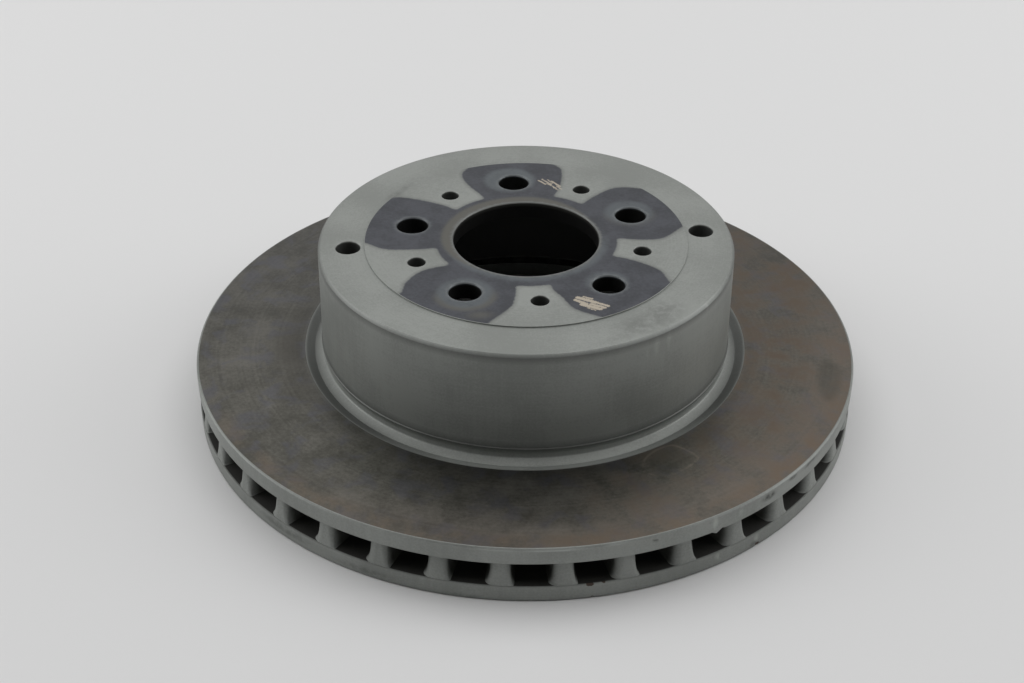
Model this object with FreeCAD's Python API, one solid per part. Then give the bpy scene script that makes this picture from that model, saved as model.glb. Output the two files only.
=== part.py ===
import FreeCAD, Part
import math, os

# Vented brake disc with a drum for the parking brake inside its hat.
# One iron casting, turned on its friction faces, rim and mounting face.
# Millimetres. Z is the axis of rotation and points to the wheel side.
# The origin is the centre of the inboard friction face, which it rests on.

# Friction ring
rim_diameter = 310.0
ring_thickness = 28.0
cheek_thickness = 7.9
rim_edge_break = 0.9
swept_inner_diameter = 208.4
inboard_cheek_bore = 200.0

# Cooling vanes, straight and radial, cast between the two cheeks
vane_count = 37
vane_waist_width = 8.4
vane_root_width = 11.0
vane_nose_setback = 0.8
vane_nose_bevel = 1.3
vane_inner_radius = 101.5

# Hat, which carries the wheel and bolts on the hub
overall_height = 81.5
hat_top_diameter = 191.0
hat_foot_diameter = 191.8
hat_edge_break = 1.3
flange_thickness = 8.0
pad_diameter = 148.6
pad_height = 0.65

# Turned neck and heat-dam groove between the hat and the outboard cheek
neck_height = 5.0
neck_ledge = 0.4
neck_waist_diameter = 190.2
neck_waist_height = 2.2
neck_foot_diameter = 191.2
groove_diameter = 199.6
groove_depth = 1.4
groove_lip_width = 0.8

# Parking-brake drum
drum_diameter = 178.0
drum_mouth_height = 17.6
drum_mouth_break = 1.0
drum_corner_break = 3.0

# Holes in the mounting flange
hub_bore_diameter = 67.0
hub_bore_break = 0.4
bolt_circle_diameter = 108.0
wheel_bolt_count = 5
wheel_bolt_hole_diameter = 14.5
wheel_bolt_hole_break = 0.5
small_hole_diameter = 8.2
small_hole_break = 0.25
adjuster_circle_diameter = 163.4
adjuster_hole_diameter = 11.3
adjuster_hole_break = 0.3

AXIS = FreeCAD.Vector(0, 0, 1)
ORIGIN = FreeCAD.Vector(0, 0, 0)

rim_r = rim_diameter / 2
gap_bottom = cheek_thickness
gap_top = ring_thickness - cheek_thickness
rim_land_r = rim_r - rim_edge_break


def point(r, z):
    return FreeCAD.Vector(r, 0, z)


def line(a, b):
    return Part.LineSegment(a, b).toShape()


def arc(a, middle, b):
    return Part.Arc(a, middle, b).toShape()


def outline(*corners):
    """Straight edges through the corners, as a list."""
    return [line(a, b) for a, b in zip(corners, corners[1:])]


def turned(edges):
    """Solid of revolution from a closed half section."""
    face = Part.Face(Part.Wire(edges))
    return face.revolve(ORIGIN, AXIS, 360)


def hat_and_outboard_cheek():
    hat_top_r = hat_top_diameter / 2
    hat_foot_r = hat_foot_diameter / 2
    shoulder = overall_height - pad_height
    ledge_r = hat_foot_r + neck_ledge
    ledge_z = ring_thickness + neck_height
    neck_foot_r = neck_foot_diameter / 2
    groove_r = groove_diameter / 2
    swept_r = swept_inner_diameter / 2
    bore_r = hub_bore_diameter / 2
    drum_r = drum_diameter / 2
    flange_under = overall_height - flange_thickness

    # wheel side of the flange, then down the outside of the hat
    outside = outline(
        point(bore_r, overall_height - hub_bore_break),
        point(bore_r + hub_bore_break, overall_height),
        point(pad_diameter / 2, overall_height),
        point(pad_diameter / 2, shoulder),
        point(hat_top_r - hat_edge_break, shoulder),
        point(hat_top_r, shoulder - hat_edge_break),
        point(hat_foot_r, ledge_z + neck_ledge),
        point(ledge_r, ledge_z),
        point(neck_waist_diameter / 2, ring_thickness + neck_waist_height),
        point(neck_foot_r, ring_thickness),
    )
    # groove, outboard friction face, rim and the cast face over the channels
    cheek = outline(
        point(neck_foot_r, ring_thickness),
        point(groove_r, ring_thickness - groove_depth),
        point(swept_r - groove_lip_width, ring_thickness - groove_lip_width / 4),
        point(swept_r, ring_thickness),
        point(rim_land_r, ring_thickness),
        point(rim_r, ring_thickness - rim_edge_break),
        point(rim_r, gap_top),
        point(hat_foot_r, gap_top),
    )
    # mouth and wall of the drum, then the hub side of the flange
    inside = outline(
        point(hat_foot_r, gap_top),
        point(hat_foot_r, drum_mouth_height + drum_mouth_break),
        point(hat_foot_r - drum_mouth_break, drum_mouth_height),
        point(drum_r + drum_mouth_break, drum_mouth_height),
        point(drum_r, drum_mouth_height + drum_mouth_break),
        point(drum_r, flange_under - drum_corner_break),
        point(drum_r - drum_corner_break, flange_under),
        point(bore_r, flange_under),
        point(bore_r, overall_height - hub_bore_break),
    )
    return turned(outside + cheek + inside)


def inboard_cheek():
    bore_r = inboard_cheek_bore / 2
    return turned(
        outline(
            point(bore_r, rim_edge_break),
            point(bore_r + rim_edge_break, 0),
            point(rim_land_r, 0),
            point(rim_r, rim_edge_break),
            point(rim_r, gap_bottom),
            point(bore_r, gap_bottom),
            point(bore_r, rim_edge_break),
        )
    )


def vane():
    """One vane along +X. Its sides curve out into both cheeks and its nose is bevelled."""
    waist = vane_waist_width / 2
    root = vane_root_width / 2
    middle = ring_thickness / 2
    section = [
        line(end_point(-root, gap_bottom), end_point(root, gap_bottom)),
        arc(
            end_point(root, gap_bottom),
            end_point(waist, middle),
            end_point(root, gap_top),
        ),
        line(end_point(root, gap_top), end_point(-root, gap_top)),
        arc(
            end_point(-root, gap_top),
            end_point(-waist, middle),
            end_point(-root, gap_bottom),
        ),
    ]
    nose = rim_r - vane_nose_setback
    length = nose - vane_inner_radius
    web = Part.Face(Part.Wire(section)).extrude(FreeCAD.Vector(length, 0, 0))
    return web.common(bevelled_bar(vane_inner_radius, nose, root + 1, waist - vane_nose_bevel))


def end_point(y, z):
    """A point of the section at the vane's inner end."""
    return FreeCAD.Vector(vane_inner_radius, y, z)


def bevelled_bar(start, end, half, nose_half):
    """Upright bar along +X whose outer end narrows to a flat nose at 45 degrees."""
    shoulder = end - (half - nose_half)
    corners = [
        FreeCAD.Vector(start, -half, gap_bottom),
        FreeCAD.Vector(shoulder, -half, gap_bottom),
        FreeCAD.Vector(end, -nose_half, gap_bottom),
        FreeCAD.Vector(end, nose_half, gap_bottom),
        FreeCAD.Vector(shoulder, half, gap_bottom),
        FreeCAD.Vector(start, half, gap_bottom),
        FreeCAD.Vector(start, -half, gap_bottom),
    ]
    face = Part.Face(Part.makePolygon(corners))
    return face.extrude(FreeCAD.Vector(0, 0, gap_top - gap_bottom))


def vanes():
    """The vanes, one of them pointing along -Y."""
    one = vane()
    pitch = 360.0 / vane_count
    return [one.rotated(ORIGIN, AXIS, 270 + i * pitch) for i in range(vane_count)]


def flange_holes():
    """Cutters for the wheel bolts, the small holes between them and the adjusters."""
    bolt_circle_r = bolt_circle_diameter / 2
    adjuster_circle_r = adjuster_circle_diameter / 2
    hat_top = overall_height - pad_height
    pitch = 360.0 / wheel_bolt_count
    cutters = []
    for i in range(wheel_bolt_count):
        bolt = on_circle(bolt_circle_r, 90 + i * pitch, overall_height)
        small = on_circle(bolt_circle_r, 90 + (i + 0.5) * pitch, overall_height)
        cutters += drilled(bolt, wheel_bolt_hole_diameter, wheel_bolt_hole_break)
        cutters += drilled(small, small_hole_diameter, small_hole_break)
    for angle in (0, 180):
        adjuster = on_circle(adjuster_circle_r, angle, hat_top)
        cutters += drilled(adjuster, adjuster_hole_diameter, adjuster_hole_break)
    return cutters


def on_circle(radius, degrees, z):
    turn = math.radians(degrees)
    return FreeCAD.Vector(radius * math.cos(turn), radius * math.sin(turn), z)


def drilled(mouth, diameter, edge_break):
    """A drill right through the flange and the cone that breaks the edge at its mouth."""
    r = diameter / 2
    depth = flange_thickness + 2
    drill = Part.makeCylinder(r, depth, mouth + AXIS, -AXIS)
    sink = Part.makeCone(r, r + 2 * edge_break, 2 * edge_break, mouth - AXIS * edge_break)
    return [drill, sink]


def brake_disc():
    body = hat_and_outboard_cheek().fuse([inboard_cheek()] + vanes())
    body = body.cut(flange_holes())
    return body.removeSplitter()


disc = brake_disc()
os.makedirs("parts", exist_ok=True)
disc.exportStep("parts/brake_disc.step")
print("solids", len(disc.Solids), "faces", len(disc.Faces), "valid", disc.isValid())
print("volume cm3", round(disc.Volume / 1000, 1), "box", disc.BoundBox)
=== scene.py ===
import math

import bmesh
import bpy
import numpy as np
from mathutils import Matrix, Vector, geometry, kdtree


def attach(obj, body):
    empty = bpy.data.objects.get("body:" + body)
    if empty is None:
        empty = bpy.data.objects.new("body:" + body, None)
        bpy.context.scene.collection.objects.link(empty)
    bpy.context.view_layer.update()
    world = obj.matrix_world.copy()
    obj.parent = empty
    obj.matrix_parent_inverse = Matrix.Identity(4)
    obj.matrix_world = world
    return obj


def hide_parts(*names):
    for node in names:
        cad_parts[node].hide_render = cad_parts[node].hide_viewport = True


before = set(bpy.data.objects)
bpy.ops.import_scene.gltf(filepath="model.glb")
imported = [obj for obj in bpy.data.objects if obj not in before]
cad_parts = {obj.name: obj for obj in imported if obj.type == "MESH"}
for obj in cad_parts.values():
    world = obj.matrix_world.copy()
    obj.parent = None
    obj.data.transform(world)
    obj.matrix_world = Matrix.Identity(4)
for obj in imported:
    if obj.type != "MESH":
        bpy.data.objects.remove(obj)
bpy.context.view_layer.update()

# A vented brake disc lying on its inboard friction face, hat up. Sizes are in
# millimetres up to the point where a mesh is made, and +Z is the axis of rotation.
MM = 0.001

# The turned section of the disc
RIM_R = 155.0
RING_TOP = 28.0
CHEEK = 7.9
GAP_TOP = RING_TOP - CHEEK
RIM_BREAK = 0.65
COATED_STRIP = 0.35
FACE_END_R = RIM_R - RIM_BREAK - COATED_STRIP
SWEPT_R = 104.2
FACE_START_R = SWEPT_R + 0.15
LIP_WIDTH = 0.8
LIP_DROP = 0.2
INBOARD_BORE_R = 100.0
INBOARD_START_R = INBOARD_BORE_R + 1.4
INBOARD_END_R = RIM_R - RIM_BREAK - 0.4
TOP = 81.5
PAD_R = 74.3
PAD_FLAT_R = PAD_R - 0.3
PAD_FOOT_R = PAD_R + 0.4
PAD_HEIGHT = 0.65
SHOULDER = TOP - PAD_HEIGHT
HAT_TOP_R = 95.5
HAT_FOOT_R = 95.9
HAT_BREAK = 1.3
HAT_FLAT_R = HAT_TOP_R - HAT_BREAK - 0.5
LEDGE = 0.4
NECK_HEIGHT = 5.0
NECK_WAIST_R = 95.1
NECK_WAIST = 2.2
NECK_FOOT_R = 95.6
GROOVE_R = 99.8
GROOVE_DEPTH = 1.4
DRUM_R = 89.0
DRUM_MOUTH = 17.6
MOUTH_BREAK = 1.0
DRUM_START = DRUM_MOUTH + 1.5
DRUM_CORNER = 3.0
CORNER_ROUNDING = 0.6
FLANGE_UNDER = TOP - 8.0
BORE_R = 33.5
BORE_BREAK = 0.4

# Holes in the flange
CIRCLE_R = 54.0
BOLT_R = 7.25
BOLT_BREAK = 0.5
SMALL_R = 4.1
SMALL_BREAK = 0.25
ADJUSTER_CIRCLE_R = 81.7
ADJUSTER_R = 5.65
ADJUSTER_BREAK = 0.3
HOLE_STEPS = 72
HOLE_ROUNDING = 0.2
WALL_STEP = 0.8

# The vanes between the two cheeks
VANES = 37
PITCH = 2 * math.pi / VANES
PER_PITCH = 24
AROUND = VANES * PER_PITCH
VANE_HALF = 4.2
VANE_NOSE = RIM_R - 0.2
NOSE_LEAN = 1.6
VANE_TAIL = 101.5
TAIL_CORNER = 3.0
# The sand core left one corner of each nose soft and the other tight, both softer at the
# outboard cheek than at the inboard one.
SOFT_CORNER = (3.2, 4.0)
TIGHT_CORNER = (1.0, 3.2)
# The fillets at the vane's foot are tall and flat.
SOFT_FOOT = 2.2
TIGHT_FOOT = 1.8
FOOT_HEIGHT = 8.0
ROOF_FILLET = 0.8
MOUTH_SOFT = 0.15

# One vane points almost along -Y, and the points round the disc start half a pitch before it.
FRONT_VANE = math.radians(269.6)
FIRST_ANGLE = FRONT_VANE - PITCH / 2

# Where the coat is gone round each wheel bolt hole, as bolt faces leave it. For each
# hole's angle, the two sides of the bare patch, going outwards: millimetres across
# and then along the line from the axis through the hole.
BARE_PATCHES = {
    90: (
        ((17.6, 43.7), (23.0, 55.1), (24.5, 64.7), (20.3, 72.2)),
        ((-20.7, 44.5), (-24.9, 62.8), (-23.0, 69.1), (-19.4, 72.9)),
    ),
    18: (
        ((19.4, 39.1), (26.2, 54.7), (25.8, 63.3), (20.5, 72.0)),
        ((-17.3, 39.0), (-23.5, 50.0), (-25.0, 58.9), (-19.2, 71.9)),
    ),
    -54: (
        ((18.7, 38.2), (23.6, 49.1), (25.5, 60.8), (22.0, 69.4)),
        ((-20.2, 38.5), (-22.7, 48.1), (-25.1, 58.5), (-21.3, 70.2)),
    ),
    234: (
        ((17.0, 38.6), (22.0, 48.8), (23.5, 55.6), (21.7, 68.8)),
        ((-19.1, 39.7), (-25.8, 49.5), (-26.4, 60.6), (-23.7, 68.3)),
    ),
    162: (
        ((17.9, 38.6), (22.7, 52.6), (23.8, 61.9), (20.7, 70.0)),
        ((-19.4, 39.2), (-23.6, 52.3), (-24.9, 66.1), (-22.6, 71.1)),
    ),
}
BARE_RING_R = 42.0

# Two parts of a piece that meet at a steeper angle than this keep a sharp edge
SHARP_EDGE = math.radians(30)

# Paler rings that the bolts' washers left: middle, radius, strength, and how brown
WASHER_RINGS = (
    ((-1.8, 56.5), 12.6, 0.9, 0.0),
    ((51.0, 19.0), 11.6, 0.7, 0.25),
    ((31.2, -42.4), 9.8, 0.65, 0.0),
    ((-31.8, -45.2), 12.8, 0.75, 0.8),
    ((-51.4, 16.7), 9.4, 0.25, 0.0),
)

# Two dabs of paint that mark the disc as inspected, as strokes of a broad pen
PAINT_DABS = (
    (1.3, ((12.4, 54.8), (15.2, 50.6))),
    (1.2, ((14.2, 55.8), (17.8, 50.2))),
    (0.9, ((16.8, 55.4), (18.6, 51.4))),
    (1.1, ((16.2, 51.4), (19.8, 46.2))),
    (1.5, ((18.6, 53.4), (21.8, 48.0))),
    (0.9, ((18.6, 47.0), (20.6, 44.2))),
    (1.0, ((20.4, 48.4), (22.2, 45.0))),
    (2.0, ((15.2, -55.0), (19.8, -58.6))),
    (2.4, ((16.6, -53.2), (23.4, -57.6))),
    (1.3, ((19.2, -52.8), (22.6, -54.8))),
    (2.4, ((17.6, -58.8), (25.0, -63.2))),
    (1.8, ((21.4, -56.0), (28.8, -61.2))),
    (1.9, ((21.6, -59.0), (27.2, -62.4))),
    (0.9, ((19.6, -61.8), (22.8, -64.0))),
)

# Marks on the coat: angle round the axis, distance from the axis, height, half-length
# round the disc, half-width up or out, and strength
SMUDGES_AND_SHADE = (
    (-52, 84.5, SHOULDER, 11, 7, 0.4),
    (-62, 86, SHOULDER, 12, 6.5, 0.35),
    (-56, 89, SHOULDER, 16, 5, 0.3),
    (-70, 90, SHOULDER, 9, 2.5, 0.25),
    (141, 75, TOP, 6, 3, 0.4),
    (134, 76, TOP, 6, 2.5, 0.3),
    (305.1, RIM_R, 24.7, 4.2, 1.7, 1.3),
    (311.0, RIM_R, 26.1, 3.0, 0.8, 1.1),
    (316.4, RIM_R, 25.9, 6.5, 0.8, 1.1),
    (283.6, RIM_R, 25.4, 0.9, 0.7, 1.2),
    (302.6, RIM_R, 2.2, 2.2, 1.6, 0.8),
    (238, RIM_R, 3.0, 14, 1.6, 0.45),
    (222, RIM_R, 4.5, 16, 2.0, 0.5),
    (255, RIM_R, 1.2, 9, 1.0, 0.4),
    # painted shade on the groove's outer slope at the front left
    (231, 97.8, 27.3, 10, 1.5, 0.3),
)
SCUFFS = (
    (294.0, RIM_R, 24.6, 1.3, 3.0, 1.0),
    (295.0, RIM_R, 5.4, 0.9, 1.9, 0.9),
    (299.0, RIM_R, 24.6, 0.8, 2.2, 0.6),
    (303.1, RIM_R, 4.6, 1.3, 2.4, 0.9),
    # the next three, along the rim's top edge, are painted highlights on its broken edge
    (268.0, RIM_R, 27.6, 13, 0.8, 1.4),
    (277.5, RIM_R, 27.7, 6, 0.6, 1.1),
    (259.5, RIM_R, 27.4, 9, 0.5, 0.7),
    (-41, HAT_TOP_R, 80.2, 1.3, 0.9, 1.0),
    (-57, 95.6, 75.5, 1.3, 4.5, 0.55),
    (-61, 95.6, 74.5, 1.5, 5.0, 0.5),
    (-64, 95.6, 73.5, 0.8, 3.0, 0.3),
)
# Soft dark patches on the friction face, as above
FACE_STAINS = (
    (180, 112, RING_TOP, 26, 9, 0.5),
    (197, 114, RING_TOP, 16, 8, 0.35),
    (166, 110, RING_TOP, 12, 6, 0.35),
    (222, 144, RING_TOP, 14, 5, 0.25),
    (310, 113, RING_TOP, 12, 6, 0.3),
)
# Outlines of two drops that dried on it
DRIED_DROPS = (
    ((53.5, -92.3), (57.8, -94.6), (61.6, -98.6), (63.5, -102.2), (59.4, -106.8), (53.9, -110.8),
     (46.0, -113.0), (39.0, -109.5), (40.0, -102.0), (46.0, -95.5)),
    ((139.5, -32.0), (144.5, -42.0), (142.5, -54.0), (136.0, -66.0), (129.5, -70.5), (126.0, -62.0),
     (127.0, -50.8), (131.5, -39.5)),
)
# Chips and a burr: angle, height, half-length, half-width, depth inwards, drop
DENTS = (
    (273.5, 7.5, 1.7, 1.0, 0.5, 0.0),
    (275.6, 7.8, 0.8, 0.6, 0.35, 0.0),
    (274.0, 0.5, 0.9, 0.7, 0.3, 0.0),
    (303.3, 1.3, 1.2, 1.0, 0.35, 0.0),
    (294.3, 20.1, 1.5, 1.6, -0.25, 1.0),
    (295.6, 20.2, 0.8, 1.0, 0.3, -0.2),
)
BARE_CHIPS = DENTS[:4]


def smooth(low, high, value):
    """Eased step from 0 at the first limit to 1 at the second."""
    t = np.clip((value - low) / (high - low), 0, 1)
    return t * t * (3 - 2 * t)


class Shell:
    """Vertices and faces in millimetres, each face with the number of its finish."""

    def __init__(self):
        self.points = []
        self.faces = []
        self.finish = []
        self.count = 0

    def add(self, points, faces, finish):
        """Adds a patch of faces, which count its own points from 0."""
        points = np.asarray(points, float)
        self.points.append(points)
        self.faces += [tuple(int(i) + self.count for i in f) for f in faces]
        self.finish += [finish] * len(faces)
        self.count += len(points)

    def piece(self, name, finishes, marks, dents=()):
        """The finished object, with each mark as a value at its points."""
        mesh = bpy.data.meshes.new(name)
        points = dented(np.concatenate(self.points), dents)
        mesh.from_pydata((points * MM).tolist(), [], self.faces)
        for material in finishes:
            mesh.materials.append(material)
        mesh.polygons.foreach_set("material_index", self.finish)
        weld(mesh)
        mesh.polygons.foreach_set("use_smooth", [True] * len(mesh.polygons))
        mesh.set_sharp_from_angle(angle=SHARP_EDGE)
        where = np.empty(len(mesh.vertices) * 3)
        mesh.vertices.foreach_get("co", where)
        where = where.reshape(-1, 3) / MM
        for mark, strength in marks.items():
            layer = mesh.attributes.new(mark, "FLOAT", "POINT")
            layer.data.foreach_set("value", strength(where).astype(np.float32))
        mesh.update()
        piece = bpy.data.objects.new(name, mesh)
        bpy.context.collection.objects.link(piece)
        return piece


def weld(mesh):
    """Joins the points that lie on one another where two faces meet."""
    work = bmesh.new()
    work.from_mesh(mesh)
    bmesh.ops.remove_doubles(work, verts=work.verts, dist=0.002 * MM)
    work.to_mesh(mesh)
    work.free()


def round_the_disc(points, degrees):
    """Each point's distance along its own circle from the given angle."""
    turn = np.arctan2(points[:, 1], points[:, 0]) - math.radians(degrees)
    turn = (turn + math.pi) % (2 * math.pi) - math.pi
    return turn * np.hypot(points[:, 0], points[:, 1])


def dented(points, dents):
    """The rim's points moved by its chips and burrs, which fade out 2 mm into it."""
    points = points.copy()
    r = np.hypot(points[:, 0], points[:, 1])
    for degrees, height, along, across, depth, drop in dents:
        reach = (round_the_disc(points, degrees) / along) ** 2
        reach += ((points[:, 2] - height) / across) ** 2 + ((r - RIM_R) / 2) ** 2
        weight = np.clip(1 - reach, 0, 1) ** 0.7
        points[:, :2] *= (1 - depth * weight / np.maximum(r, 1))[:, None]
        points[:, 2] -= drop * weight
    return points


def softened(corners, radius, steps=3):
    """The polyline with each inner corner rounded by up to the radius."""
    line = [np.array(c, float) for c in corners]
    out = [line[0]]
    for a, b, c in zip(line, line[1:], line[2:]):
        before, after = np.linalg.norm(a - b), np.linalg.norm(c - b)
        u, v = (a - b) / before, (c - b) / after
        turn = math.acos(np.clip(-(u @ v), -1, 1))
        cut = min(radius * math.tan(turn / 2), before * 0.45, after * 0.45)
        for i in range(steps + 1):
            t = i / steps
            out.append((1 - t) ** 2 * (b + u * cut) + 2 * t * (1 - t) * b + t * t * (b + v * cut))
    out.append(line[-1])
    return out


def divided(profile, step):
    """The profile with long runs cut into lengths of about the step."""
    out = [profile[0]]
    for a, b in zip(profile, profile[1:]):
        parts = max(1, round(math.dist(a, b) / step))
        out += [tuple(np.array(a) + (np.array(b) - np.array(a)) * i / parts) for i in range(1, parts + 1)]
    return out


def ring_angles(count=AROUND):
    return FIRST_ANGLE + np.arange(count) * 2 * math.pi / count


def lathe(shell, profile, finish, count=AROUND, centre=(0.0, 0.0)):
    """Turns a profile about an upright axis; its solid lies to the right of the way it runs."""
    angles = ring_angles(count)
    rows = [
        np.stack([centre[0] + r * np.cos(angles), centre[1] + r * np.sin(angles), np.full(count, z)], 1)
        for r, z in profile
    ]
    faces = []
    for i in range(len(profile) - 1):
        for j in range(count):
            k = (j + 1) % count
            faces.append((i * count + j, (i + 1) * count + j, (i + 1) * count + k, i * count + k))
    shell.add(np.concatenate(rows), faces, finish)


def circle(radius, count=AROUND, centre=(0.0, 0.0)):
    angles = ring_angles(count)
    return np.stack([centre[0] + radius * np.cos(angles), centre[1] + radius * np.sin(angles)], 1)


def inside(points, loop):
    """Which points lie inside a closed loop."""
    crossings = np.zeros(len(points), int)
    x, y = points[:, 0], points[:, 1]
    for (ax, ay), (bx, by) in zip(loop, np.roll(loop, -1, 0)):
        if ay != by:
            crossings += ((ay > y) != (by > y)) & (x < ax + (y - ay) * (bx - ax) / (by - ay))
    return crossings % 2 == 1


def staggered(low, high, spacing):
    """Points of a triangular grid over a rectangle."""
    across = np.arange(low[0], high[0], spacing)
    along = np.arange(low[1], high[1], spacing * math.sqrt(0.75))
    return [(x + (i % 2) * spacing / 2, y) for i, y in enumerate(along) for x in across]


def plate(shell, outer, holes, height, finish, spacing=None, facing=1, fine_patches=()):
    """A flat face between an outer loop and its holes, with extra points at the spacing."""
    loops = [outer] + holes
    flat = np.concatenate(loops)
    edges, start = [], 0
    for loop in loops:
        n = len(loop)
        edges += [(start + i, start + (i + 1) % n) for i in range(n)]
        start += n
    if spacing:
        reach = np.abs(outer).max()
        added = [(p, spacing) for p in staggered((-reach, -reach), (reach, reach), spacing)]
        for low, high, fine in fine_patches:
            added = [
                (p, s) for p, s in added if not (low[0] < p[0] < high[0] and low[1] < p[1] < high[1])
            ]
            added += [(p, fine) for p in staggered(low, high, fine)]
        grid = np.array([p for p, _ in added])
        room = np.array([s for _, s in added])
        keep = inside(grid, outer)
        for hole in holes:
            keep &= ~inside(grid, hole)
        rims = kdtree.KDTree(len(flat))
        for i, p in enumerate(flat):
            rims.insert((p[0], p[1], 0), i)
        rims.balance()
        keep &= np.array([rims.find((p[0], p[1], 0))[2] for p in grid]) > 0.6 * room
        flat = np.concatenate([flat, grid[keep]])
    found, _, triangles, *_ = geometry.delaunay_2d_cdt(
        [Vector(p) for p in flat], edges, [], 0, 1e-7
    )
    found = np.array([tuple(p) for p in found])
    triangles = np.array(triangles)
    middle = found[triangles].mean(1)
    keep = inside(middle, outer)
    for hole in holes:
        keep &= ~inside(middle, hole)
    triangles = triangles[keep]
    if facing < 0:
        triangles = triangles[:, ::-1]
    points = np.column_stack([found, np.full(len(found), height)])
    shell.add(points, triangles, finish)


def flange_holes():
    """Centre, radius and broken edge of each hole in the raised pad, then of the adjuster holes."""
    pad, outer = [], []
    for i in range(5):
        bolt = math.radians(90 + 72 * i)
        small = math.radians(126 + 72 * i)
        pad.append(((CIRCLE_R * math.cos(bolt), CIRCLE_R * math.sin(bolt)), BOLT_R, BOLT_BREAK))
        pad.append(((CIRCLE_R * math.cos(small), CIRCLE_R * math.sin(small)), SMALL_R, SMALL_BREAK))
    for side in (1, -1):
        outer.append(((side * ADJUSTER_CIRCLE_R, 0.0), ADJUSTER_R, ADJUSTER_BREAK))
    return pad, outer


def hole_wall(shell, centre, radius, edge_break, top, finish):
    """Wall and broken edge of one drilled hole."""
    corners = [(radius, FLANGE_UNDER), (radius, top - edge_break), (radius + edge_break, top)]
    profile = softened(corners, HOLE_ROUNDING, 2)
    lathe(shell, divided(profile, WALL_STEP), finish, HOLE_STEPS, centre)


def flowing_loop(corners, steps=6):
    """Smooth closed curve through the corners."""
    p = np.array(corners, float)
    before, after, beyond = np.roll(p, 1, 0), np.roll(p, -1, 0), np.roll(p, -2, 0)
    bend = 2 * before - 5 * p + 4 * after - beyond
    twist = 3 * p - before - 3 * after + beyond
    curve = [
        0.5 * (2 * p + (after - before) * t + bend * t**2 + twist * t**3)
        for t in np.arange(steps) / steps
    ]
    return np.stack(curve, 1).reshape(-1, 2)


def patch_outline(degrees, left, right):
    """Outline of the bare patch round one wheel bolt hole."""
    out = np.array([math.cos(math.radians(degrees)), math.sin(math.radians(degrees))])
    across = np.array([-out[1], out[0]])
    ends = [math.atan2(left[-1][0], left[-1][1]), math.atan2(right[-1][0], right[-1][1])]
    far = [(78 * math.sin(a), 78 * math.cos(a)) for a in np.linspace(ends[0] * 0.9, ends[1] * 0.9, 5)]
    corners = [(10.0, 30.0)] + list(left) + far + list(right[::-1]) + [(-10.0, 30.0)]
    return flowing_loop([u * across + v * out for u, v in corners])


def depth_in(loop, points):
    """How far inside the outline each point lies, in millimetres; negative outside."""
    nearest = np.full(len(points), 1e9)
    for a, b in zip(loop, np.roll(loop, -1, 0)):
        run = b - a
        t = np.clip((points - a) @ run / (run @ run), 0, 1)
        nearest = np.minimum(nearest, np.linalg.norm(points - a - t[:, None] * run, axis=1))
    return np.where(inside(points, loop), nearest, -nearest)


def soft_union(a, b, radius=3.5):
    """The larger of two depths, with the inner corner between them rounded."""
    share = np.clip(0.5 + 0.5 * (a - b) / radius, 0, 1)
    return b + (a - b) * share + radius * share * (1 - share) / 2


def on_pad(points):
    """Which points belong to the mounting pad and the holes through it."""
    return (points[:, 2] > FLANGE_UNDER - 0.1) & (np.hypot(points[:, 0], points[:, 1]) < PAD_R + 0.1)


def bare_mark(points):
    """Depth into the patches where the coat is gone, in millimetres."""
    flat = points[:, :2]
    depth = BARE_RING_R - np.hypot(flat[:, 0], flat[:, 1])
    here = on_pad(points)
    for degrees, (left, right) in BARE_PATCHES.items():
        depth[here] = soft_union(depth[here], depth_in(patch_outline(degrees, left, right), flat[here]))
    return np.where(here, depth, -20)


def washer_mark(points):
    """Paler iron under each bolt's washer."""
    mark = np.zeros(len(points))
    for middle, radius, strength, _ in WASHER_RINGS:
        away = np.hypot(points[:, 0] - middle[0], points[:, 1] - middle[1])
        mark = np.maximum(mark, strength * (1 - smooth(radius - 1.8, radius + 1.2, away)))
    r = np.hypot(points[:, 0], points[:, 1])
    # the hub's edge rubbed the front half of the bore's rim as pale
    mark = np.maximum(mark, 0.8 * smooth(39.5, 36.0, r) * smooth(5, -15, points[:, 1]))
    return np.where(on_pad(points), mark, 0)


def brown_mark(points):
    """Thin brown oxide round the bore's edge and beside some bolt holes."""
    r = np.hypot(points[:, 0], points[:, 1])
    # widest at the back left of the bore, and hardly there on the opposite side
    around = np.arctan2(points[:, 1], points[:, 0]) - math.radians(128)
    width = 0.9 + 4.6 * smooth(-0.35, 0.75, np.cos(around))
    mark = 0.95 * (1 - smooth(BORE_R + width - 0.8, BORE_R + width + 1.0, r))
    for middle, radius, _, brown in WASHER_RINGS:
        away = np.hypot(points[:, 0] - middle[0], points[:, 1] - middle[1])
        lower = smooth(4, -6, points[:, 1] - middle[1])
        mark = np.maximum(mark, brown * lower * np.clip(1 - np.abs(away - radius) / 2.6, 0, 1))
    # one more patch near the pad's edge at the front left
    mark = np.maximum(mark, 0.7 * smooth(9, 0, np.hypot(points[:, 0] + 27, (points[:, 1] + 63) * 1.8)))
    return np.where(on_pad(points), mark, 0)


def paint_mark(points):
    """Depth into the strokes of inspection paint, in millimetres."""
    mark = np.full(len(points), -5.0)
    here = on_pad(points)
    flat = points[here, :2]
    best = mark[here]
    for width, stroke in PAINT_DABS:
        for a, b in zip(stroke, stroke[1:]):
            a, run = np.array(a), np.array(b) - np.array(a)
            t = np.clip((flat - a) @ run / (run @ run), 0, 1)
            best = np.maximum(best, width / 2 - np.linalg.norm(flat - a - t[:, None] * run, axis=1))
    mark[here] = best
    return mark


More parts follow.
